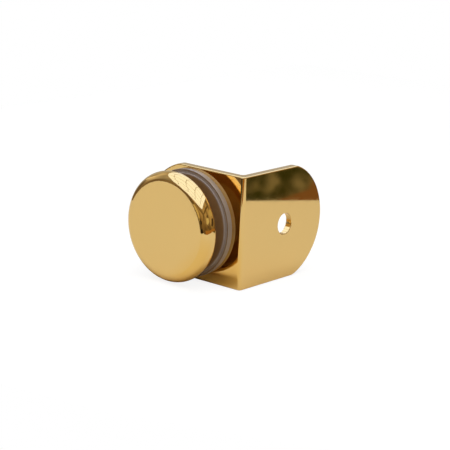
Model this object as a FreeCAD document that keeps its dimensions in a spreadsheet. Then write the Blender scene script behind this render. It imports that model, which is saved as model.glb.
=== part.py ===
import FreeCAD, Part
import math
import os
import Sketcher

# Glass-to-wall bracket, in millimetres, +Z up. The origin is the centre of the wall hole
# on the wall face: the wall lies behind Y = 0, and the glass stands out from it along +Y,
# clamped between the gaskets on the bracket's outer face and the round cap at -X.

doc = FreeCAD.newDocument("glass_to_wall_bracket")

# Driving sizes: alias, value, meaning.
DRIVING_SIZES = [
    ("bracket_height", "45", "height of both legs"),
    ("leg_length", "50", "outer corner to the rounded end of a leg"),
    ("plate_thickness", "3.5", "thickness of both legs"),
    ("axis_offset", "26.5", "outer corner to the wall hole's axis and to the clamp's axis"),
    ("end_margin", "1", "how far the end radius is more than half the height"),
    ("shoulder_radius", "6", "blend between a straight edge and the end radius"),
    ("outer_corner_radius", "1.5", "outside of the bend between the legs"),
    ("inner_corner_radius", "1", "inside of the bend between the legs"),
    ("edge_radius", "0.5", "polished edges of the legs"),
    ("wall_hole_diameter", "8.5", "straight part of the wall hole"),
    ("wall_hole_rim", "0.25", "rounded rim of the wall hole on the wall face"),
    ("wall_countersink", "1", "depth and width of the wall hole's countersink"),
    ("rear_gasket_diameter", "43", "gasket against the bracket"),
    ("rear_gasket_thickness", "2.2", "gasket against the bracket"),
    ("front_gasket_diameter", "40", "thin gasket against the glass"),
    ("front_gasket_thickness", "0.5", "thin gasket against the glass"),
    ("gasket_hole_clearance", "1", "radial, round the screw"),
    ("gasket_edge_radius", "0.2", "front outer edge of both gaskets"),
    ("glass_gap", "6.9", "front gasket to the cap as drawn"),
    ("closing_travel", "2.4", "how far the screw draws the cap in from there"),
    ("cap_diameter", "44", "clamp cap"),
    ("cap_thickness", "5", "clamp cap without its boss"),
    ("cap_land", "1.1", "depth left behind the cap's rounded front edge"),
    ("cap_rear_edge", "1", "rounded rear edge of the cap"),
    ("boss_diameter", "10", "threaded boss behind the cap"),
    ("boss_clearance", "0.5", "boss to front gasket with the cap drawn in"),
    ("sleeve_diameter", "14", "bush in the hole of the glass"),
    ("sleeve_clearance", "0.05", "radial, sleeve on the boss and in its seat"),
    ("sleeve_seat_depth", "0.4", "recess in the cap that the sleeve stands in"),
    ("screw_diameter", "6", "clamp screw"),
    ("screw_hole_clearance", "0.25", "radial, screw in the bracket"),
    ("screw_head_diameter", "11.3", "countersunk head"),
    ("screw_head_rim", "0.3", "straight edge of the countersunk head"),
    ("screw_head_recess", "0.1", "head below the bracket's inner face"),
    ("running_clearance", "0.05", "radial, screw in the cap's thread and in its seat"),
    ("thread_engagement", "5", "screw inside the boss as drawn"),
    ("tip_clearance", "0.3", "screw tip to the bottom of the threaded hole, cap drawn in"),
    ("tip_chamfer", "0.6", "end of the screw"),
    ("socket_width", "4", "hexagon socket across its flats"),
    ("socket_depth", "2.4", "hexagon socket"),
]

sheet = doc.addObject("Spreadsheet::Sheet", "sizes")
for row, (alias, value, meaning) in enumerate(DRIVING_SIZES, start=1):
    sheet.set(f"A{row}", meaning)
    sheet.set(f"B{row}", value)
    sheet.setAlias(f"B{row}", alias)
doc.recompute()

# Sizes that follow from the driving ones, as expressions.
HALF_HEIGHT = "sizes.bracket_height / 2"
END_RADIUS = f"({HALF_HEIGHT} + sizes.end_margin)"
END_CENTRE = f"(sizes.leg_length - {END_RADIUS})"
GASKET_STACK = "(sizes.rear_gasket_thickness + sizes.front_gasket_thickness)"
BOSS_LENGTH = "(sizes.glass_gap - sizes.closing_travel - sizes.boss_clearance)"
THREAD_DEPTH = "(sizes.thread_engagement + sizes.closing_travel + sizes.tip_clearance)"
SCREW_LENGTH = (f"(sizes.plate_thickness - sizes.screw_head_recess + {GASKET_STACK}"
                f" + sizes.glass_gap - {BOSS_LENGTH} + sizes.thread_engagement)")
HEAD_DEPTH = ("(sizes.screw_head_rim"
              " + (sizes.screw_head_diameter - sizes.screw_diameter) / 2)")


def size(expression):
    return float(doc.sizes.evalExpression(expression))


def new_body(label):
    body = doc.addObject("PartDesign::Body", label)
    body.Label = label
    return body


def place(body, x, y):
    body.setExpression("Placement.Base.x", x)
    body.setExpression("Placement.Base.y", y)


def new_sketch(body, name, plane):
    origin_plane = [f for f in body.Origin.OriginFeatures if f.Role == plane][0]
    sketch = body.newObject("Sketcher::SketchObject", name)
    sketch.AttachmentSupport = (origin_plane, [""])
    sketch.MapMode = "FlatFace"
    return sketch


def bind(sketch, kind, where, expression):
    """Add a dimension and tie it to the sheet."""
    index = sketch.addConstraint(Sketcher.Constraint(kind, *where, size(expression)))
    sketch.setExpression(f"Constraints[{index}]", expression)


def draw_profile(sketch, corners):
    """Draw a closed outline through corners given as (x, y) or (x, y, edge radius).

    All are expressions, zero or more. A line between corners with the same x or y text is
    vertical or horizontal, and each such line carries one dimension from the origin.
    """
    count = len(corners)
    points = [FreeCAD.Vector(size(c[0]), size(c[1]), 0) for c in corners]
    radii = [size(c[2]) if len(c) > 2 else 0.0 for c in corners]
    lines = []
    for i in range(count):
        j = (i + 1) % count
        along = (points[j] - points[i]).normalize()
        start = points[i] + along * radii[i]
        end = points[j] - along * radii[j]
        lines.append(sketch.addGeometry(Part.LineSegment(start, end)))
    for i in range(count):
        before = lines[i - 1]
        after = lines[i]
        if not radii[i]:
            sketch.addConstraint(Sketcher.Constraint("Coincident", before, 2, after, 1))
            continue
        back = (points[i - 1] - points[i]).normalize() * radii[i]
        ahead = (points[(i + 1) % count] - points[i]).normalize() * radii[i]
        centre = points[i] + back + ahead
        middle = centre - (back + ahead).normalize() * radii[i]
        arc = sketch.addGeometry(Part.Arc(points[i] + back, middle, points[i] + ahead))
        turns_left = back.cross(ahead).z < 0
        first, last = (1, 2) if turns_left else (2, 1)
        sketch.addConstraint(Sketcher.Constraint("Tangent", before, 2, arc, first))
        sketch.addConstraint(Sketcher.Constraint("Tangent", arc, last, after, 1))
        bind(sketch, "Radius", (arc,), corners[i][2])
    known = [[False, False] for _ in corners]
    for i in range(count):
        j = (i + 1) % count
        for axis, constraint, dimension, on_axis in ((0, "Vertical", "DistanceX", -2),
                                                     (1, "Horizontal", "DistanceY", -1)):
            if corners[i][axis] != corners[j][axis]:
                continue
            sketch.addConstraint(Sketcher.Constraint(constraint, lines[i]))
            if corners[i][axis] == "0":
                sketch.addConstraint(Sketcher.Constraint("PointOnObject", lines[i], 1, on_axis))
            else:
                bind(sketch, dimension, (-1, 1, lines[i], 1), corners[i][axis])
            known[i][axis] = True
            known[j][axis] = True
    for i in range(count):
        for axis, dimension in ((0, "DistanceX"), (1, "DistanceY")):
            if not known[i][axis]:
                bind(sketch, dimension, (-1, 1, lines[i], 1), corners[i][axis])


def turn(body, name, corners):
    """Turn a profile about the body's X axis into a solid."""
    sketch = new_sketch(body, f"{name}_section", "XY_Plane")
    draw_profile(sketch, corners)
    revolution = body.newObject("PartDesign::Revolution", name)
    revolution.Profile = sketch
    revolution.ReferenceAxis = (sketch, ["H_Axis"])
    revolution.Angle = 360
    return revolution


def draw_leg(sketch):
    """Draw a leg: square at the bend, straight top and bottom, and a round end."""
    half = size(HALF_HEIGHT)
    radius = size(END_RADIUS)
    blend = size("sizes.shoulder_radius")
    centre = FreeCAD.Vector(size(END_CENTRE), 0, 0)
    blend_rise = half - blend
    blend_run = math.sqrt((radius - blend) ** 2 - blend_rise ** 2)
    meeting = math.atan2(blend_rise, blend_run)
    up = FreeCAD.Vector(0, 0, 1)

    def line(x1, y1, x2, y2):
        start = FreeCAD.Vector(x1, y1, 0)
        end = FreeCAD.Vector(x2, y2, 0)
        return sketch.addGeometry(Part.LineSegment(start, end))

    def arc(middle, arc_radius, first, last):
        circle = Part.Circle(middle, up, arc_radius)
        return sketch.addGeometry(Part.ArcOfCircle(circle, first, last))

    shoulder_x = centre.x + blend_run
    bottom = line(0, -half, shoulder_x, -half)
    low_middle = FreeCAD.Vector(shoulder_x, -blend_rise, 0)
    low_shoulder = arc(low_middle, blend, -math.pi / 2, -meeting)
    end = arc(centre, radius, -meeting, meeting)
    high_middle = FreeCAD.Vector(shoulder_x, blend_rise, 0)
    high_shoulder = arc(high_middle, blend, meeting, math.pi / 2)
    top = line(shoulder_x, half, 0, half)
    bend = line(0, half, 0, -half)

    rules = [
        ("Tangent", bottom, 2, low_shoulder, 1),
        ("Tangent", low_shoulder, 2, end, 1),
        ("Tangent", end, 2, high_shoulder, 1),
        ("Tangent", high_shoulder, 2, top, 1),
        ("Coincident", top, 2, bend, 1),
        ("Coincident", bend, 2, bottom, 1),
        ("Horizontal", bottom),
        ("Horizontal", top),
        ("PointOnObject", bend, 1, -2),
        ("Symmetric", bend, 1, bend, 2, -1),
        ("Equal", low_shoulder, high_shoulder),
        ("PointOnObject", end, 3, -1),
    ]
    for rule in rules:
        sketch.addConstraint(Sketcher.Constraint(*rule))
    bind(sketch, "DistanceY", (bend, 2, bend, 1), "sizes.bracket_height")
    bind(sketch, "Radius", (end,), END_RADIUS)
    bind(sketch, "Radius", (low_shoulder,), "sizes.shoulder_radius")
    bind(sketch, "DistanceX", (-1, 1, end, 3), END_CENTRE)


def pad_leg(body, name, plane, reversed_pad):
    sketch = new_sketch(body, f"{name}_outline", plane)
    draw_leg(sketch)
    pad = body.newObject("PartDesign::Pad", name)
    pad.Profile = sketch
    pad.setExpression("Length", "sizes.plate_thickness")
    pad.Reversed = reversed_pad
    doc.recompute()
    return pad


def round_edges(body, name, base, picked, radius):
    fillet = body.newObject("PartDesign::Fillet", name)
    names = [f"Edge{i}" for i, edge in enumerate(base.Shape.Edges, start=1) if picked(edge)]
    fillet.Base = (base, names)
    fillet.setExpression("Radius", radius)
    doc.recompute()
    return fillet


def at_bend(x, y):
    """Pick the upright edge that stands at x, y."""
    def picked(edge):
        box = edge.BoundBox
        upright = box.ZLength > size(HALF_HEIGHT)
        return upright and math.hypot(box.Center.x - x, box.Center.y - y) < 0.01
    return picked


def sharp_edges(shape):
    """Pick the edges where two faces meet at more than a slight angle."""
    def picked(edge):
        faces = [f for f in shape.Faces if any(e.isSame(edge) for e in f.Edges)]
        if len(faces) != 2:
            return False
        middle = edge.valueAt((edge.FirstParameter + edge.LastParameter) / 2)
        normals = [f.normalAt(*f.Surface.parameter(middle)) for f in faces]
        return math.degrees(normals[0].getAngle(normals[1])) > 20
    return picked


def bore(body, name, axis_name, offset, corners):
    """Cut a round hole about the named axis of a sketch moved along to the hole."""
    sketch = new_sketch(body, f"{name}_section", "XY_Plane")
    sketch.setExpression(offset, "sizes.axis_offset")
    draw_profile(sketch, corners)
    groove = body.newObject("PartDesign::Groove", name)
    groove.Profile = sketch
    groove.ReferenceAxis = (sketch, [axis_name])
    groove.Angle = 360
    doc.recompute()
    return groove


# Angle bracket: one piece of brass, drawn from the outer corner of its bend.
angle_bracket = new_body("angle_bracket")
place(angle_bracket, "-sizes.axis_offset", "0")
pad_leg(angle_bracket, "wall_leg", "XZ_Plane", True)
legs = pad_leg(angle_bracket, "glass_leg", "YZ_Plane", False)
thickness = size("sizes.plate_thickness")
outside = round_edges(angle_bracket, "outer_corner", legs, at_bend(0, 0),
                      "sizes.outer_corner_radius")
inside = round_edges(angle_bracket, "inner_corner", outside, at_bend(thickness, thickness),
                     "sizes.inner_corner_radius")
polished = round_edges(angle_bracket, "polished_edges", inside, sharp_edges(inside.Shape),
                       "sizes.edge_radius")

# Wall hole: straight through the wall leg, countersunk where the wall screw's head sits.
hole_radius = "sizes.wall_hole_diameter / 2"
sink_start = "sizes.plate_thickness - sizes.wall_countersink"
sink_radius = f"{hole_radius} + sizes.wall_countersink"
wall_hole = bore(angle_bracket, "wall_hole", "V_Axis", "AttachmentOffset.Base.x", [
    ("0", "0"),
    (hole_radius, "0"),
    (hole_radius, sink_start),
    (sink_radius, "sizes.plate_thickness"),
    ("0", "sizes.plate_thickness"),
])


def on_wall_face(edge):
    """Pick the wall hole's rim on the wall face."""
    box = edge.BoundBox
    return box.YMax < 0.01 and abs(box.XLength - size("sizes.wall_hole_diameter")) < 0.01


rim = round_edges(angle_bracket, "wall_hole_rim", wall_hole, on_wall_face,
                  "sizes.wall_hole_rim")

# Clamp hole: clears the screw and takes its countersunk head from the bracket's inside.
clear_radius = "sizes.screw_diameter / 2 + sizes.screw_hole_clearance"
head_radius = "sizes.screw_head_diameter / 2"
seat_radius = (f"{head_radius} + sizes.screw_head_recess + sizes.screw_head_rim"
               " + sizes.running_clearance")
seat_start = f"sizes.plate_thickness - ({seat_radius} - ({clear_radius}))"
bore(angle_bracket, "clamp_hole", "H_Axis", "AttachmentOffset.Base.y", [
    ("0", "0"),
    ("sizes.plate_thickness", "0"),
    ("sizes.plate_thickness", seat_radius),
    (seat_start, clear_radius),
    ("0", clear_radius),
])

# Gaskets: two clear plastic rings on the bracket's outer face, the front one smaller.
gasket_hole = "sizes.screw_diameter / 2 + sizes.gasket_hole_clearance"
gasket_front = {"rear": "sizes.rear_gasket_thickness", "front": GASKET_STACK}
gaskets = []
for side, reach in gasket_front.items():
    gasket = new_body(f"{side}_gasket")
    place(gasket, f"-sizes.axis_offset - {reach}", "sizes.axis_offset")
    outer = f"sizes.{side}_gasket_diameter / 2"
    depth = f"sizes.{side}_gasket_thickness"
    turn(gasket, f"{side}_gasket_ring", [
        ("0", gasket_hole),
        (depth, gasket_hole),
        (depth, outer),
        ("0", outer, "sizes.gasket_edge_radius"),
    ])
    gaskets.append(gasket)

# Clamp cap: a flat-faced disc with a rounded front edge and a threaded boss behind it,
# drawn from the centre of its front face. A shallow recess round the boss seats the sleeve.
clamp_cap = new_body("clamp_cap")
cap_front = f"-sizes.axis_offset - {GASKET_STACK} - sizes.glass_gap - sizes.cap_thickness"
place(clamp_cap, cap_front, "sizes.axis_offset")
cap_radius = "sizes.cap_diameter / 2"
boss_radius = "sizes.boss_diameter / 2"
boss_end = f"sizes.cap_thickness + {BOSS_LENGTH}"
thread_bottom = f"{boss_end} - {THREAD_DEPTH}"
thread_radius = "sizes.screw_diameter / 2 + sizes.running_clearance"
sleeve_radius = "sizes.sleeve_diameter / 2"
sleeve_seat = "sizes.cap_thickness - sizes.sleeve_seat_depth"
sleeve_seat_radius = f"{sleeve_radius} + sizes.sleeve_clearance"
turn(clamp_cap, "cap_disc", [
    ("0", "0"),
    (thread_bottom, "0"),
    (thread_bottom, thread_radius),
    (boss_end, thread_radius),
    (boss_end, boss_radius),
    (sleeve_seat, boss_radius),
    (sleeve_seat, sleeve_seat_radius),
    ("sizes.cap_thickness", sleeve_seat_radius),
    ("sizes.cap_thickness", cap_radius, "sizes.cap_rear_edge"),
    ("0", cap_radius, "sizes.cap_thickness - sizes.cap_land"),
])

# Glass sleeve: a plastic bush on the boss, which keeps the glass off the metal.
glass_sleeve = new_body("glass_sleeve")
place(glass_sleeve, f"{cap_front} + {sleeve_seat}", "sizes.axis_offset")
sleeve_length = f"{BOSS_LENGTH} + sizes.sleeve_seat_depth"
sleeve_bore = f"{boss_radius} + sizes.sleeve_clearance"
turn(glass_sleeve, "sleeve_tube", [
    ("0", sleeve_bore),
    (sleeve_length, sleeve_bore),
    (sleeve_length, sleeve_radius),
    ("0", sleeve_radius),
])

# Clamp screw: a countersunk screw, drawn from its tip, with a hexagon socket in its head.
clamp_screw = new_body("clamp_screw")
screw_tip = f"-sizes.axis_offset + sizes.plate_thickness - sizes.screw_head_recess - {SCREW_LENGTH}"
place(clamp_screw, screw_tip, "sizes.axis_offset")
shank_radius = "sizes.screw_diameter / 2"
turned_screw = turn(clamp_screw, "turned_screw", [
    ("0", "0"),
    (SCREW_LENGTH, "0"),
    (SCREW_LENGTH, head_radius),
    (f"{SCREW_LENGTH} - sizes.screw_head_rim", head_radius),
    (f"{SCREW_LENGTH} - {HEAD_DEPTH}", shank_radius),
    ("sizes.tip_chamfer", shank_radius),
    ("0", f"{shank_radius} - sizes.tip_chamfer"),
])
doc.recompute()
solid_screw_volume = turned_screw.Shape.Volume

hexagon = new_sketch(clamp_screw, "socket_outline", "YZ_Plane")
hexagon.setExpression("AttachmentOffset.Base.z", SCREW_LENGTH)
SIDES = 6
corner_radius = size("sizes.socket_width") / 2 / math.cos(math.pi / SIDES)
circle = Part.Circle(FreeCAD.Vector(), FreeCAD.Vector(0, 0, 1), corner_radius)
guide = hexagon.addGeometry(circle, True)
hexagon.addConstraint(Sketcher.Constraint("Coincident", guide, 3, -1, 1))
flats = []
for i in range(SIDES):
    ends = [FreeCAD.Vector(corner_radius * math.cos(2 * math.pi * k / SIDES),
                           corner_radius * math.sin(2 * math.pi * k / SIDES), 0)
            for k in (i, i + 1)]
    flats.append(hexagon.addGeometry(Part.LineSegment(*ends)))
for i, flat in enumerate(flats):
    hexagon.addConstraint(Sketcher.Constraint("Coincident", flats[i - 1], 2, flat, 1))
    hexagon.addConstraint(Sketcher.Constraint("PointOnObject", flat, 1, guide))
    if i:
        hexagon.addConstraint(Sketcher.Constraint("Equal", flats[0], flat))
hexagon.addConstraint(Sketcher.Constraint("PointOnObject", flats[0], 1, -1))
bind(hexagon, "Radius", (guide,), f"sizes.socket_width / 2 / cos(180 deg / {SIDES})")
socket = clamp_screw.newObject("PartDesign::Pocket", "hexagon_socket")
socket.Profile = hexagon
socket.setExpression("Length", "sizes.socket_depth")

# Check the whole document, then write one file for each piece.
doc.recompute()
for item in doc.Objects:
    if {"Invalid", "Error"} & set(item.State):
        raise RuntimeError(f"{item.Name} did not compute: {item.State}")
if clamp_screw.Shape.Volume >= solid_screw_volume:
    raise RuntimeError("the hexagon socket cuts nothing")
os.makedirs("parts", exist_ok=True)
pieces = [angle_bracket, *gaskets, clamp_cap, glass_sleeve, clamp_screw]
for piece in pieces:
    if piece.Shape.isNull() or not piece.Shape.isValid():
        raise RuntimeError(f"{piece.Label} has no valid shape")
for piece in pieces:
    piece.Shape.exportStep(f"parts/{piece.Label}.step")
    box = piece.Shape.optimalBoundingBox()
    print(f"{piece.Label}: {piece.Shape.Volume:.1f} mm3, X {box.XMin:.2f} to {box.XMax:.2f},"
          f" Y {box.YMin:.2f} to {box.YMax:.2f}, Z {box.ZMin:.2f} to {box.ZMax:.2f}")
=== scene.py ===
import math
import bpy
from mathutils import Matrix, Vector


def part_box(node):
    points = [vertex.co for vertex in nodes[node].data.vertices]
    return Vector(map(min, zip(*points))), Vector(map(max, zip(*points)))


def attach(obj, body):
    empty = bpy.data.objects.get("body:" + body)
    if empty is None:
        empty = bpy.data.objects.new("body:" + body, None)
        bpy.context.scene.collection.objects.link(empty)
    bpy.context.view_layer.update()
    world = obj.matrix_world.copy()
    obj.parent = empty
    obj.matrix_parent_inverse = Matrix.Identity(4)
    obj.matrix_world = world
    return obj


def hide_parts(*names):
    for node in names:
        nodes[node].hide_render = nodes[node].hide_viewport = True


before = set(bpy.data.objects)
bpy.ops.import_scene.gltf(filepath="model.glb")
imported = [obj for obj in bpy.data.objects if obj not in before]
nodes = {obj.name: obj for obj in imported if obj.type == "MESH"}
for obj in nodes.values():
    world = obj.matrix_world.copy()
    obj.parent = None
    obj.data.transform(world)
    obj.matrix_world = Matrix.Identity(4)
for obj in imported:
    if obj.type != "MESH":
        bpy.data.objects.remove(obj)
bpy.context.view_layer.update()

# Angle bracket: one brass angle with round-ended legs, its edges eased, mirror polished and
# plated in yellow gold. It screws to the wall through the hole in one leg, and the glass
# is clamped against the outside of the other.
MM = 0.001


def linear(hex_colour):
    """Turn an sRGB hex colour into linear RGBA."""
    channels = [int(hex_colour[i:i + 2], 16) / 255 for i in (1, 3, 5)]
    return [c / 12.92 if c <= 0.04045 else ((c + 0.055) / 1.055) ** 2.4 for c in channels] + [1.0]


def add_node(material, kind, settings=None, links=None):
    """Add a shader node, give it its settings, and link sockets into its inputs."""
    tree = material.node_tree
    node = tree.nodes.new(kind)
    for name, value in (settings or {}).items():
        if isinstance(name, int) or name in node.inputs:
            node.inputs[name].default_value = value
        else:
            setattr(node, name, value)
    for name, source in (links or {}).items():
        tree.links.new(source, node.inputs[name])
    return node


def new_material(name):
    """Start a material and return it with its surface shader and its place on the part."""
    material = bpy.data.materials.new(name)
    material.use_nodes = True
    surface = material.node_tree.nodes["Principled BSDF"]
    place = add_node(material, "ShaderNodeTexCoord").outputs["Object"]
    return material, surface, place


# Gold plating over buffed brass: a clear mirror. The wheel leaves soft clouds of haze about
# 7 mm across, a slow ripple and a slight drift between a redder and a greener gold.
gold_plate, gold_surface, gold_place = new_material("gold_plated_brass_buffed")
gold_drift = add_node(gold_plate, "ShaderNodeTexNoise",
                      {"Scale": 1 / (16 * MM), "Detail": 1.0}, {"Vector": gold_place})
gold_colour = add_node(gold_plate, "ShaderNodeMix",
                       {"data_type": "RGBA", 6: linear("#F3CB80"), 7: linear("#F0CA80")},
                       {0: gold_drift.outputs[0]})
gold_haze = add_node(gold_plate, "ShaderNodeTexNoise",
                     {"Scale": 1 / (7 * MM), "Detail": 3.0}, {"Vector": gold_place})
gold_rough = add_node(gold_plate, "ShaderNodeMapRange",
                      {"From Min": 0.3, "From Max": 0.7, "To Min": 0.035, "To Max": 0.06},
                      {"Value": gold_haze.outputs[0]})
gold_ripple = add_node(gold_plate, "ShaderNodeTexNoise",
                       {"Scale": 1 / (6 * MM), "Detail": 0.0}, {"Vector": gold_place})
gold_relief = add_node(gold_plate, "ShaderNodeBump",
                       {"Strength": 1.0, "Distance": 0.0003 * MM},
                       {"Height": gold_ripple.outputs[0]})
gold_surface.inputs["Metallic"].default_value = 1.0
links = gold_plate.node_tree.links
links.new(gold_colour.outputs[2], gold_surface.inputs["Base Color"])
links.new(gold_rough.outputs[0], gold_surface.inputs["Roughness"])
links.new(gold_relief.outputs[0], gold_surface.inputs["Normal"])
nodes["angle_bracket"].material_slots[0].material = gold_plate

# Gaskets: two rings of clear soft PVC, a thin one on a thick one, held between the bracket
# and the glass by the clamp screw that passes through them.
# Soft PVC, moulded, half clear: greyish lilac and milky at the rings' edges, with a soft gloss, and
# light spreads in it. Inside the edges the rings are painted brown, a painted reflection of the gold and
# painted shade of the gap.
pvc, pvc_surface, pvc_place = new_material("soft_clear_pvc_moulded")
CLAMP_AXIS = Vector((0, 26.5, 0)) * MM
# The brown zones are painted: gold reflected in the rings and the gap's shade, put into the colour, with a
# painted shade line near the thick ring's rim.
MILKY, PAINTED_GOLD_SHADE, PAINTED_SHADE_LINE = linear("#AE9E94"), linear("#96734C"), linear("#96795A")
GASKET_RADIUS = 21.5
GASKET_ZONES = ((13.1, MILKY), (14, PAINTED_GOLD_SHADE), (19.2, PAINTED_GOLD_SHADE), (19.8, MILKY), (20.7, MILKY),
                (20.95, PAINTED_SHADE_LINE), (21.3, PAINTED_SHADE_LINE), (21.46, MILKY))
pvc_centred = add_node(pvc, "ShaderNodeVectorMath", {"operation": "SUBTRACT", 1: CLAMP_AXIS},
                       {0: pvc_place})
pvc_across = add_node(pvc, "ShaderNodeVectorMath", {"operation": "MULTIPLY", 1: (0, 1, 1)},
                      {0: pvc_centred.outputs[0]})
pvc_radius = add_node(pvc, "ShaderNodeVectorMath", {"operation": "LENGTH"},
                      {0: pvc_across.outputs[0]})
pvc_share = add_node(pvc, "ShaderNodeMapRange", {"From Max": GASKET_RADIUS * MM},
                     {"Value": pvc_radius.outputs["Value"]})
pvc_zones = add_node(pvc, "ShaderNodeValToRGB", None, {0: pvc_share.outputs[0]})
zones = pvc_zones.color_ramp
zones.interpolation = "EASE"
zones.elements.remove(zones.elements[1])
zones.elements[0].color = MILKY
for radius, colour in GASKET_ZONES:
    zones.elements.new(radius / GASKET_RADIUS).color = colour
pvc_cloud = add_node(pvc, "ShaderNodeTexNoise",
                     {"Scale": 1 / (3 * MM), "Detail": 2.0}, {"Vector": pvc_place})
pvc_clouded = add_node(pvc, "ShaderNodeMapRange", {"To Min": 0.85, "To Max": 1.1},
                       {"Value": pvc_cloud.outputs[0]})
pvc_colour = add_node(pvc, "ShaderNodeMix",
                      {"data_type": "RGBA", "blend_type": "MULTIPLY", 0: 1.0},
                      {6: pvc_zones.outputs[0], 7: pvc_clouded.outputs[0]})
pvc_rough = add_node(pvc, "ShaderNodeMapRange", {"To Min": 0.26, "To Max": 0.4},
                     {"Value": pvc_cloud.outputs[0]})
pvc_surface.inputs["IOR"].default_value = 1.53
pvc_surface.inputs["Transmission Weight"].default_value = 0.15
pvc_surface.inputs["Subsurface Weight"].default_value = 0.3
pvc_surface.inputs["Subsurface Radius"].default_value = (1.0, 0.9, 0.85)
pvc_surface.inputs["Subsurface Scale"].default_value = 0.8 * MM
links = pvc.node_tree.links
links.new(pvc_colour.outputs[2], pvc_surface.inputs["Base Color"])
links.new(pvc_rough.outputs[0], pvc_surface.inputs["Roughness"])
for gasket in ("rear_gasket", "front_gasket"):
    nodes[gasket].material_slots[0].material = pvc


# Clamp cap: turned from brass bar with a flat face and a large rounded edge, a threaded boss
# behind it, polished and plated with the bracket. The clamp screw draws it on to the glass.
# It is turned here again in fine steps, so that its rounded edge mirrors straight lines cleanly.
def arc(centre_x, centre_radius, radius, turn_from, turn_to, steps):
    """Points of a profile's rounded corner, with turns in degrees from the front to the rim."""
    turns = [math.radians(turn_from + (turn_to - turn_from) * i / steps) for i in range(steps + 1)]
    return [(centre_x - radius * math.cos(t), centre_radius + radius * math.sin(t)) for t in turns]


def turned_mesh(name, profile, sides):
    """Turn a profile of (x, radius) in mm, from axis to axis, about the clamp axis.

    A radius can also be a function of the turn."""
    corners = []
    rings = []
    for x, radius in profile:
        count = sides if radius else 1
        rings.append(range(len(corners), len(corners) + count))
        for side in range(count):
            turn = 2 * math.pi * side / sides
            reach = radius(turn) if callable(radius) else radius
            across = Vector((x, reach * math.cos(turn), reach * math.sin(turn)))
            corners.append(CLAMP_AXIS + across * MM)
    faces = []
    for one, two in zip(rings, rings[1:]):
        for side in range(sides):
            ahead = (side + 1) % sides
            quad = [one[side % len(one)], one[ahead % len(one)],
                    two[ahead % len(two)], two[side % len(two)]]
            faces.append(list(dict.fromkeys(quad)))
    mesh = bpy.data.meshes.new(name)
    mesh.from_pydata(corners, [], faces)
    mesh.shade_smooth()
    mesh.set_sharp_from_angle(angle=math.radians(30))
    return mesh


cap_low, cap_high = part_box("clamp_cap")
CAP_FRONT, BOSS_END = cap_low[0] / MM, cap_high[0] / MM
CAP_RADIUS = (cap_high[2] - cap_low[2]) / 2 / MM
CAP_THICKNESS, FRONT_ROUND, REAR_ROUND = 5.0, 3.9, 1.0
BOSS_RADIUS, THREAD_RADIUS, THREAD_DEPTH = 5.0, 3.05, 7.7
SEAT_RADIUS, SEAT_DEPTH = 7.05, 0.4
CAP_REAR = CAP_FRONT + CAP_THICKNESS
FACE_RADIUS = CAP_RADIUS - FRONT_ROUND
FRONT_STEPS, REAR_STEPS, CAP_SIDES = 32, 12, 256
# A narrow ring inside each rounded corner keeps the flat faces flat in the shading.
FLAT_RING = 0.2
cap_profile = [(CAP_FRONT, 0), (CAP_FRONT, FACE_RADIUS - FLAT_RING)]
cap_profile += arc(CAP_FRONT + FRONT_ROUND, FACE_RADIUS, FRONT_ROUND, 0, 90, FRONT_STEPS)
cap_profile += arc(CAP_REAR - REAR_ROUND, CAP_RADIUS - REAR_ROUND, REAR_ROUND, 90, 180, REAR_STEPS)
cap_profile += [(CAP_REAR, CAP_RADIUS - REAR_ROUND - FLAT_RING), (CAP_REAR, SEAT_RADIUS),
                (CAP_REAR - SEAT_DEPTH, SEAT_RADIUS), (CAP_REAR - SEAT_DEPTH, BOSS_RADIUS),
                (BOSS_END, BOSS_RADIUS), (BOSS_END, THREAD_RADIUS),
                (BOSS_END - THREAD_DEPTH, THREAD_RADIUS), (BOSS_END - THREAD_DEPTH, 0)]
cap_mesh = turned_mesh("polished_cap", cap_profile, CAP_SIDES)
cap_mesh.materials.append(gold_plate)
cap = bpy.data.objects.new("polished_cap", cap_mesh)
bpy.context.scene.collection.objects.link(cap)
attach(cap, "cap")
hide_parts("clamp_cap")

# Glass sleeve: a short bush pushed on to the cap's boss, which keeps the brass off the edge
# of the hole in the glass.
# Natural nylon, moulded: milky, half matt, with slight flow marks.
nylon, nylon_surface, nylon_place = new_material("natural_nylon_moulded")
nylon_flow = add_node(nylon, "ShaderNodeTexNoise",
                      {"Scale": 1 / (2 * MM), "Detail": 2.0}, {"Vector": nylon_place})
nylon_colour = add_node(nylon, "ShaderNodeMix",
                        {"data_type": "RGBA", 6: linear("#ECE9E0"), 7: linear("#E0DCD0")},
                        {0: nylon_flow.outputs[0]})
nylon_rough = add_node(nylon, "ShaderNodeMapRange", {"To Min": 0.38, "To Max": 0.52},
                       {"Value": nylon_flow.outputs[0]})
nylon_surface.inputs["Transmission Weight"].default_value = 0.08
links = nylon.node_tree.links
links.new(nylon_colour.outputs[2], nylon_surface.inputs["Base Color"])
links.new(nylon_rough.outputs[0], nylon_surface.inputs["Roughness"])
nodes["glass_sleeve"].material_slots[0].material = nylon

# Clamp screw: a countersunk socket screw of stainless steel, put in from the inside of the
# bracket and threaded into the cap's boss. Its thread is rolled, and runs out below the head.
# Stainless steel, turned: grey metal with rings of tool marks, drawn 0.24 mm apart so that they show.
steel, steel_surface, steel_place = new_material("stainless_steel_turned")
TOOL_MARKS = 0.24
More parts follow.
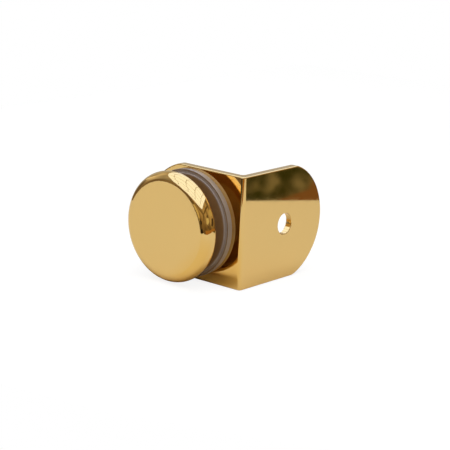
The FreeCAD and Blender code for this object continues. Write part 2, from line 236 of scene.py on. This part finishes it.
# At a scale of 1 the wave comes round again after 0.314.
WAVE_REPEAT = 0.314
steel_centred = add_node(steel, "ShaderNodeVectorMath",
                         {"operation": "SUBTRACT", 1: CLAMP_AXIS}, {0: steel_place})
steel_rings = add_node(steel, "ShaderNodeTexWave",
                       {"wave_type": "RINGS", "rings_direction": "X",
                        "Scale": WAVE_REPEAT / (TOOL_MARKS * MM), "Distortion": 0.3},
                       {"Vector": steel_centred.outputs[0]})
steel_colour = add_node(steel, "ShaderNodeMix",
                        {"data_type": "RGBA", 6: linear("#C9C6C0"), 7: linear("#BDBAB4")},
                        {0: steel_rings.outputs[1]})
steel_rough = add_node(steel, "ShaderNodeMapRange", {"To Min": 0.22, "To Max": 0.34},
                       {"Value": steel_rings.outputs[1]})
steel_surface.inputs["Metallic"].default_value = 1.0
links = steel.node_tree.links
links.new(steel_colour.outputs[2], steel_surface.inputs["Base Color"])
links.new(steel_rough.outputs[0], steel_surface.inputs["Roughness"])
screw_low, screw_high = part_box("clamp_screw")
SCREW_TIP, HEAD_FACE = screw_low[0] / MM, screw_high[0] / MM
HEAD_RADIUS = (screw_high[2] - screw_low[2]) / 2 / MM
SHANK_RADIUS, HEAD_RIM, TIP_CHAMFER = 3.0, 0.3, 0.6
SOCKET_HALF, SOCKET_DEPTH = 2.0, 2.4
THREAD_PITCH, THREAD_HEIGHT, THREAD_STEPS = 1.0, 0.6, 16
# A metric thread's shares of the pitch: its flat crest, and its two flanks together.
CREST, FLANK = 1 / 8, 5 / 8
PLAIN_LENGTH, SCREW_SIDES = 0.5, 48
HEAD_END = HEAD_FACE - HEAD_RIM - (HEAD_RADIUS - SHANK_RADIUS)
THREAD_END = HEAD_END - PLAIN_LENGTH


def socket_reach(turn):
    """From the axis to the side of the hexagon socket, in mm."""
    from_flat = turn % (math.pi / 3) - math.pi / 6
    return SOCKET_HALF / math.cos(from_flat)


def thread_reach(x):
    """The shank's radius at one place along it, as a function of the turn, for a right-hand thread."""
    run_out = min(1, max(0, (THREAD_END - x) / THREAD_PITCH))
    chamfer = SHANK_RADIUS - TIP_CHAMFER + x - SCREW_TIP

    def reach(turn):
        phase = (x / THREAD_PITCH - turn / (2 * math.pi)) % 1
        down_flank = (abs(phase - 0.5) * 2 - CREST) / FLANK
        depth = THREAD_HEIGHT * run_out * min(1, max(0, down_flank))
        return min(SHANK_RADIUS - depth, chamfer)
    return reach


screw_profile = [(SCREW_TIP, 0)]
shank_steps = round((HEAD_END - SCREW_TIP) / THREAD_PITCH * THREAD_STEPS)
for step in range(shank_steps):
    x = SCREW_TIP + (HEAD_END - SCREW_TIP) * step / shank_steps
    screw_profile.append((x, thread_reach(x)))
screw_profile += [(HEAD_END, SHANK_RADIUS), (HEAD_FACE - HEAD_RIM, HEAD_RADIUS), (HEAD_FACE, HEAD_RADIUS),
                  (HEAD_FACE, socket_reach), (HEAD_FACE - SOCKET_DEPTH, socket_reach),
                  (HEAD_FACE - SOCKET_DEPTH, 0)]
screw_mesh = turned_mesh("threaded_screw", screw_profile, SCREW_SIDES)
screw_mesh.materials.append(steel)
screw = bpy.data.objects.new("threaded_screw", screw_mesh)
bpy.context.scene.collection.objects.link(screw)
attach(screw, "screw")
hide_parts("clamp_screw")


# Floor: a sheet of white card under the part, cut roughly, which the polished faces mirror
# up to its edges. The camera sees it as white paper with the part's soft shadow.
def stage_piece(name, corners, faces, material):
    """Make a mesh of the set from corner points in metres."""
    mesh = bpy.data.meshes.new(name)
    mesh.from_pydata([tuple(c) for c in corners], [], faces)
    piece = bpy.data.objects.new(name, mesh)
    bpy.context.scene.collection.objects.link(piece)
    mesh.materials.append(material)
    return piece


FLOOR_LEVEL = -22.5
SHEET_OUTLINE = ((465, 209), (80, -102), (60, -320), (2, -278), (-113, -161), (-154, -53),
                 (-164, 8), (-113, 68), (-205, 166), (-500, 480), (-420, 600), (-120, 345), (465, 345))
# Matt white card, evenly lit, with a warm painted glow to the right of the cap where the gold would throw
# its light, and a warm painted shade under the gap for the glass. The camera sees it as paper white with a
# faint shadow, mirrors as it is.
card, card_surface, card_place = new_material("white_card_matt")
# Painted light: a warm glow painted on the card where the gold would throw its light, seen only in
# mirrors.
GLOW_FROM = Vector((-45, 27, FLOOR_LEVEL)) * MM
GLOW_SIDE = Vector((-0.47, -0.88, 0))
GLOW_FRONT = Vector((-1, 0, 0))
GLOW_EDGE, GLOW_REACH, GLOW_BACK = (-4, 6), (30, 100), (-30, 0)
# Painted shade: the card is painted warmer and darker under the gap between cap and bracket, seen only in
# mirrors.
UNDER_GAP = Vector((-34, 26, FLOOR_LEVEL)) * MM
GAP_THICK, GAP_WIDE = (3, 11), (15, 28)
PAPER_LIFT = 0.86
card_from = add_node(card, "ShaderNodeVectorMath", {"operation": "SUBTRACT", 1: GLOW_FROM},
                     {0: card_place})
card_side = add_node(card, "ShaderNodeVectorMath", {"operation": "DOT_PRODUCT", 1: GLOW_SIDE},
                     {0: card_from.outputs[0]})
card_far = add_node(card, "ShaderNodeVectorMath", {"operation": "LENGTH"}, {0: card_from.outputs[0]})
card_inside = add_node(card, "ShaderNodeMapRange",
                       {"From Min": GLOW_EDGE[0] * MM, "From Max": GLOW_EDGE[1] * MM},
                       {"Value": card_side.outputs["Value"]})
card_near = add_node(card, "ShaderNodeMapRange",
                     {"From Min": GLOW_REACH[0] * MM, "From Max": GLOW_REACH[1] * MM,
                      "To Min": 1.0, "To Max": 0.0},
                     {"Value": card_far.outputs["Value"]})
card_front = add_node(card, "ShaderNodeVectorMath", {"operation": "DOT_PRODUCT", 1: GLOW_FRONT},
                      {0: card_from.outputs[0]})
card_before = add_node(card, "ShaderNodeMapRange",
                       {"From Min": GLOW_BACK[0] * MM, "From Max": GLOW_BACK[1] * MM},
                       {"Value": card_front.outputs["Value"]})
card_close = add_node(card, "ShaderNodeMath", {"operation": "MULTIPLY"},
                      {0: card_near.outputs[0], 1: card_before.outputs[0]})
painted_glow_mask = add_node(card, "ShaderNodeMath", {"operation": "MULTIPLY"},
                     {0: card_inside.outputs[0], 1: card_close.outputs[0]})
card_painted_glow = add_node(card, "ShaderNodeMix",
                    {"data_type": "RGBA", 6: linear("#EDEDED"), 7: linear("#EDE5CA")},
                    {0: painted_glow_mask.outputs[0]})
card_under = add_node(card, "ShaderNodeVectorMath", {"operation": "SUBTRACT", 1: UNDER_GAP},
                      {0: card_place})
card_reach = add_node(card, "ShaderNodeVectorMath", {"operation": "ABSOLUTE"},
                      {0: card_under.outputs[0]})
card_sides = add_node(card, "ShaderNodeSeparateXYZ", None, {0: card_reach.outputs[0]})
card_thick = add_node(card, "ShaderNodeMapRange",
                      {"interpolation_type": "SMOOTHSTEP", "From Min": GAP_THICK[0] * MM,
                       "From Max": GAP_THICK[1] * MM, "To Min": 1.0, "To Max": 0.0},
                      {"Value": card_sides.outputs["X"]})
card_wide = add_node(card, "ShaderNodeMapRange",
                     {"interpolation_type": "SMOOTHSTEP", "From Min": GAP_WIDE[0] * MM,
                      "From Max": GAP_WIDE[1] * MM, "To Min": 1.0, "To Max": 0.0},
                     {"Value": card_sides.outputs["Y"]})
painted_shade_mask = add_node(card, "ShaderNodeMath", {"operation": "MULTIPLY"},
                      {0: card_thick.outputs[0], 1: card_wide.outputs[0]})
card_painted_shade = add_node(card, "ShaderNodeMix", {"data_type": "RGBA", 7: linear("#D2BE92")},
                       {0: painted_shade_mask.outputs[0], 6: card_painted_glow.outputs[2]})
card_ray = add_node(card, "ShaderNodeLightPath")
card_colour = add_node(card, "ShaderNodeMix", {"data_type": "RGBA", 7: linear("#7C7C7C")},
                       {0: card_ray.outputs["Is Camera Ray"], 6: card_painted_shade.outputs[2]})
card_lift = add_node(card, "ShaderNodeMath", {"operation": "MULTIPLY", 1: PAPER_LIFT},
                     {0: card_ray.outputs["Is Camera Ray"]})
card_surface.inputs["Roughness"].default_value = 1.0
card_surface.inputs["Specular IOR Level"].default_value = 0.0
card_surface.inputs["Emission Color"].default_value = linear("#FFFFFF")
card.node_tree.links.new(card_colour.outputs[2], card_surface.inputs["Base Color"])
card.node_tree.links.new(card_lift.outputs[0], card_surface.inputs["Emission Strength"])
stage_piece("floor", [Vector((x, y, FLOOR_LEVEL)) * MM for x, y in SHEET_OUTLINE],
            [range(len(SHEET_OUTLINE))], card)


# Room: what the polished metal mirrors beyond the sheet. Plain walls, a glazed roof above,
# and a dark planted view below the level of the sheet to the right. Only mirrors see it.
# The sizes of the room and its roof are in metres.
def mirrored_only(piece):
    """Show a piece of the set in mirrors alone."""
    piece.visible_camera = False
    piece.visible_diffuse = False
    piece.visible_shadow = False


def glowing(name):
    """Start a material that gives off light of its own."""
    material, surface, place = new_material(name)
    surface.inputs["Base Color"].default_value = linear("#000000")
    surface.inputs["Specular IOR Level"].default_value = 0.0
    surface.inputs["Emission Strength"].default_value = 1.0
    return material, surface, place


ROOM_RADIUS = 20.0
ROOM_SIDES, ROOM_RINGS = 48, 24
room_corners = []
room_faces = []
for ring in range(1, ROOM_RINGS):
    tilt = math.pi * ring / ROOM_RINGS
    for side in range(ROOM_SIDES):
        turn = 2 * math.pi * side / ROOM_SIDES
        room_corners.append(ROOM_RADIUS * Vector((math.sin(tilt) * math.cos(turn),
                                                  math.sin(tilt) * math.sin(turn), math.cos(tilt))))
        if ring > 1:
            here = len(room_corners) - 1
            there = here - side + (side + 1) % ROOM_SIDES
            room_faces.append((here, there, there - ROOM_SIDES, here - ROOM_SIDES))
room_faces.append(list(range(ROOM_SIDES)))
room_faces.append(list(range(len(room_corners) - ROOM_SIDES, len(room_corners))))
# Warm plaster whose light from the roof is painted into its glow: paler with height, greyer behind the
# part, in broad soft patches.
plaster, plaster_surface, plaster_place = glowing("plaster_wall_warm")
FRONT_TONES = ((0.0, "#594B35"), (0.31, "#796545"), (0.55, "#9B8969"), (1.0, "#968463"))
BACK_TONES = ((0.0, "#8A7A66"), (0.31, "#736555"), (0.5, "#776A5A"), (0.66, "#B5AFA8"))
plaster_way = add_node(plaster, "ShaderNodeVectorMath", {"operation": "NORMALIZE"},
                       {0: plaster_place})
plaster_level = add_node(plaster, "ShaderNodeSeparateXYZ", None, {0: plaster_way.outputs[0]})
plaster_height = add_node(plaster, "ShaderNodeMapRange", {"From Min": -0.25, "From Max": 0.55},
                          {"Value": plaster_level.outputs["Z"]})
plaster_front = add_node(plaster, "ShaderNodeValToRGB", None, {0: plaster_height.outputs[0]})
plaster_back = add_node(plaster, "ShaderNodeValToRGB", None, {0: plaster_height.outputs[0]})
for shade, tones in ((plaster_front, FRONT_TONES), (plaster_back, BACK_TONES)):
    shade.color_ramp.elements.remove(shade.color_ramp.elements[1])
    shade.color_ramp.elements[0].color = linear(tones[0][1])
    for position, tone in tones[1:]:
        shade.color_ramp.elements.new(position).color = linear(tone)
BACK_SIDE = Vector((-0.17, 0.98, 0))
plaster_behind = add_node(plaster, "ShaderNodeVectorMath", {"operation": "DOT_PRODUCT", 1: BACK_SIDE},
                          {0: plaster_way.outputs[0]})
plaster_turn = add_node(plaster, "ShaderNodeMapRange", {"From Min": 0.55, "From Max": 0.75},
                        {"Value": plaster_behind.outputs["Value"]})
plaster_round = add_node(plaster, "ShaderNodeMix", {"data_type": "RGBA"},
                         {0: plaster_turn.outputs[0], 6: plaster_front.outputs[0],
                          7: plaster_back.outputs[0]})
plaster_patch = add_node(plaster, "ShaderNodeTexNoise", {"Scale": 2.4, "Detail": 0.0},
                         {"Vector": plaster_way.outputs[0]})
plaster_busy = add_node(plaster, "ShaderNodeMapRange",
                        {"From Min": 0.35, "From Max": 0.65, "To Min": 0.65, "To Max": 1.4},
                        {"Value": plaster_patch.outputs[0]})
plaster_tone = add_node(plaster, "ShaderNodeMix",
                        {"data_type": "RGBA", "blend_type": "MULTIPLY", 0: 1.0},
                        {6: plaster_round.outputs[2], 7: plaster_busy.outputs[0]})
# The wall behind the part, to the right, is pale grey. The level top edges mirror it.
PALE_SIDE = Vector((0.62, 0.74, 0.25))
plaster_side = add_node(plaster, "ShaderNodeVectorMath", {"operation": "DOT_PRODUCT", 1: PALE_SIDE},
                        {0: plaster_way.outputs[0]})
plaster_pale = add_node(plaster, "ShaderNodeMapRange", {"From Min": 0.8, "From Max": 0.95},
                        {"Value": plaster_side.outputs["Value"]})
plaster_wall = add_node(plaster, "ShaderNodeMix", {"data_type": "RGBA", 7: linear("#BABABA")},
                        {0: plaster_pale.outputs[0], 6: plaster_tone.outputs[2]})
plaster.node_tree.links.new(plaster_wall.outputs[2], plaster_surface.inputs["Emission Color"])
room = stage_piece("room", room_corners, room_faces, plaster)
mirrored_only(room)

# Glazed roof, one metre above the part: rows of panes between curved rafters, cut by cross bars. It
# widens towards the front to a sharp corner, and runs out to a point far behind the camera's left.
ROOF_HEIGHT = 1.0
ROOF_CORNER, ROOF_BEND = -1.84, -1.5
RAFTERS = (0.0, 0.15, 0.36, 0.575, 0.835, 1.0)
CROSS_BARS = (1.8, 0.9, 0.3, -0.3, -1.0, ROOF_CORNER, -3.5, -7.0, -14.6)
RAFTER_HALF, CROSS_HALF = 0.0055, 0.028
NEAR_EDGE, NEAR_CURVE, NEAR_SLOPE = -1.09, 0.061, -0.75
FAR_EDGE, FAR_CURVE, FAR_SLOPE = 0.93, 0.15, -0.55
BAY_STEPS = 8


def roof_near(x):
    """The roof's edge on the wall leg's side, for a place along the roof."""
    if x > ROOF_CORNER:
        return NEAR_EDGE + NEAR_CURVE * (x - ROOF_CORNER) ** 2
    return NEAR_EDGE + NEAR_SLOPE * (x - ROOF_CORNER)


def roof_far(x):
    """The roof's other edge, for a place along the roof."""
    if x > ROOF_BEND:
        return FAR_EDGE + FAR_CURVE * x ** 2
    return FAR_EDGE + FAR_CURVE * ROOF_BEND ** 2 + FAR_SLOPE * (x - ROOF_BEND)


roof_corners = []
roof_faces = []
for bay_from, bay_to in zip(CROSS_BARS, CROSS_BARS[1:]):
    inset = CROSS_HALF * (bay_to - bay_from)
    for row_from, row_to in zip(RAFTERS, RAFTERS[1:]):
        for step in range(BAY_STEPS + 1):
            x = bay_from + inset + (bay_to - bay_from - 2 * inset) * step / BAY_STEPS
            if step:
                last = len(roof_corners)
                roof_faces.append((last - 2, last - 1, last + 1, last))
            for share in (row_from + RAFTER_HALF, row_to - RAFTER_HALF):
                y = roof_near(x) + (roof_far(x) - roof_near(x)) * share
                roof_corners.append(Vector((x, y, 1)) * ROOF_HEIGHT)
# Clear glazing with daylight behind it: bright, bluish panes.
sky, sky_surface, _ = glowing("glazing_daylight")
sky_surface.inputs["Emission Color"].default_value = linear("#C6D6FF")
sky_surface.inputs["Emission Strength"].default_value = 2.1
roof = stage_piece("roof_glazing", roof_corners, roof_faces, sky)
mirrored_only(roof)


def way(turn, rise):
    """Unit vector from the part towards a turn about Z and a rise above level, in degrees."""
    turn, rise = math.radians(turn), math.radians(rise)
    return Vector((math.cos(turn) * math.cos(rise), math.sin(turn) * math.cos(rise), math.sin(rise)))


# Eaves beams, furniture and sunlit places, which break up the walls. Each is a flat painted card,
# with its outline given as turns and rises in degrees, seen from the part.
PATCH_DISTANCE, PATCH_STEP = 4.0, 0.05
ROOM_PATCHES = (
    ("pale_table", "#CBBC90",
     ((142, -11.5), (146, -9.3), (160, 0.6), (167, -0.2), (164, -4.8), (150, -11.5))),
    ("left_beam", "#766545",
     ((168, 8), (181, 9.5), (204, 14), (215, 18), (214, 20), (193, 17), (179, 16))),
    ("right_beam", "#6A5A3A",
     ((207, 14), (233, 26), (279, 37), (312, 34), (292, 40), (254, 36), (218, 22))),
    ("beam_post", "#766545", ((200, 12), (216, 18), (206, 6.5), (195, 3))),
    ("chair_back", "#26221A", ((160, -7.5), (176, -3), (173, -6), (163, -9), (156, -10))),
    ("low_cabinet", "#1C1812",
     ((153, -12.5), (170, -9.5), (175, -10.5), (172, -13), (159, -14), (149, -14))),
    ("tall_cabinet", "#4A3D2C", ((293, 17), (319, 12), (309, 7), (290, 3.5), (275, 6.5))),
    ("sunlit_doorway", "#CEC59E", ((231, 16.5), (257, 20), (256, 13), (240, 7.5), (223, 6))),
    ("door_head", "#61543B", ((238, 22), (260, 25.5), (251, 21), (236, 18.5))),
    ("stool", "#65553F", ((230, 4.5), (247, 6), (247, 1), (232, 0))),
    ("pale_paving", "#E1E1E1",
     ((138, -14.3), (159, -14.3), (172, -13.4), (192, -12.6), (192, -20), (138, -20))),
    ("far_window", "#F6F2EA", ((82, 14), (90, 20), (104, 26.5), (107, 23), (99, 18), (88, 13))),
    ("sunlit_wall", "#BCAE81", ((296, 32), (324, 23), (318, 16), (277, 22), (271, 28))),
    ("boarded_floor", "#A2763F",
     ((205, -5), (245, -2), (285, 1), (318, -2.5), (304, -20), (193, -20), (203, -12))),
)
for index, (name, tone, outline) in enumerate(ROOM_PATCHES):
    distance = PATCH_DISTANCE - PATCH_STEP * index
    patch_paint, patch_surface, _ = glowing(f"painted_{name}")
    patch_surface.inputs["Emission Color"].default_value = linear(tone)
    patch_corners = [way(turn, rise) * distance for turn, rise in outline]
    patch = stage_piece(name, patch_corners, [range(len(patch_corners))], patch_paint)
    mirrored_only(patch)

# Planted view: a card below the level of the sheet, to the right, which the top of the wall leg mirrors.
# A bank of fallen leaves and the foot of a tree stand just in front of it.
VIEW_TURN, VIEW_DISTANCE, BANK_DISTANCE = -39.8, 450, 446
VIEW_OUTLINE = ((-250, -200), (250, -200), (250, -40), (-250, -40))
VIEW_CARDS = (
    ("leafy_bank", "#795636",
     ((6, -101), (14, -97), (33, -89), (36, -82), (120, -40), (120, -200), (6, -200))),
    ("tree_trunk", "#221C0A", ((-10.3, -200), (-8.0, -200), (-8.5, -86), (-9.9, -86))),
)


def view_points(distance, outline):
    """Points on an upright card at a distance, for an outline of (along, level) in mm."""
    out = way(VIEW_TURN, 0)
    along_card = way(VIEW_TURN + 90, 0)
    return [(out * distance + along_card * along + Vector((0, 0, level))) * MM for along, level in outline]


# Planting, out of focus: blotches of dark olive and greyish green, about 9 mm across on the card.
plants, plants_surface, plants_place = glowing("planting_out_of_focus")
plants_blotch = add_node(plants, "ShaderNodeTexNoise", {"Scale": 1 / (9 * MM), "Detail": 1.0},
                         {"Vector": plants_place})
plants_tone = add_node(plants, "ShaderNodeValToRGB", None, {0: plants_blotch.outputs[0]})
ramp = plants_tone.color_ramp
ramp.elements[0].position = 0.38
ramp.elements[0].color = linear("#30320F")
ramp.elements[1].position = 0.62
ramp.elements[1].color = linear("#7C765E")
plants.node_tree.links.new(plants_tone.outputs[0], plants_surface.inputs["Emission Color"])
view = stage_piece("planted_view", view_points(VIEW_DISTANCE, VIEW_OUTLINE),
                   [range(len(VIEW_OUTLINE))], plants)
mirrored_only(view)
for name, tone, outline in VIEW_CARDS:
    tree_paint, tree_surface, _ = glowing(f"painted_{name}")
    tree_surface.inputs["Emission Color"].default_value = linear(tone)
    tree = stage_piece(name, view_points(BANK_DISTANCE, outline), [range(len(outline))], tree_paint)
    mirrored_only(tree)

# Light: one wide lamp overhead for the soft shadow, and an even fill from the white world,
# which is plain white where it is seen, mirrored or looked at through plastic.
lamp_data = bpy.data.lights.new("overhead_lamp", "AREA")
lamp_data.shape = "RECTANGLE"
lamp_data.size = 1.2
lamp_data.size_y = 0.8
lamp_data.energy = 7.2
lamp = bpy.data.objects.new("overhead_lamp", lamp_data)
lamp.location = (-0.3, -0.1, 1.0)
lamp.visible_glossy = False
bpy.context.scene.collection.objects.link(lamp)

world = bpy.data.worlds.new("white_world")
bpy.context.scene.world = world
world.use_nodes = True
FILL = 0.42
world_ray = add_node(world, "ShaderNodeLightPath")
world_seen = add_node(world, "ShaderNodeMath", {"operation": "MAXIMUM"},
                      {0: world_ray.outputs["Is Camera Ray"], 1: world_ray.outputs["Is Glossy Ray"]})
world_through = add_node(world, "ShaderNodeMath", {"operation": "MAXIMUM"},
                         {0: world_seen.outputs[0], 1: world_ray.outputs["Is Transmission Ray"]})
world_level = add_node(world, "ShaderNodeMapRange", {"To Min": FILL, "To Max": 1.0},
                       {"Value": world_through.outputs[0]})
background = world.node_tree.nodes["Background"]
background.inputs["Color"].default_value = linear("#FFFFFF")
world.node_tree.links.new(world_level.outputs[0], background.inputs["Strength"])

# Camera: a long lens about 0.6 m from the part, a little above it and looking slightly down,
# at the cap and the wall leg.
CAMERA_PLACE = Vector((-479.49, -368.23, 154.21)) * MM
CAMERA_TURN, CAMERA_DROP, CAMERA_ROLL = -50.242, 14.456, 2.296
camera_data = bpy.data.cameras.new("camera")
camera_data.sensor_width = 36
camera_data.lens = 126.04
camera = bpy.data.objects.new("camera", camera_data)
camera.matrix_world = (Matrix.Translation(CAMERA_PLACE)
                       @ Matrix.Rotation(math.radians(CAMERA_TURN), 4, "Z")
                       @ Matrix.Rotation(math.radians(90 - CAMERA_DROP), 4, "X")
                       @ Matrix.Rotation(math.radians(CAMERA_ROLL), 4, "Z"))
bpy.context.scene.collection.objects.link(camera)
bpy.context.scene.camera = camera
bpy.context.scene.view_settings.view_transform = "Standard"
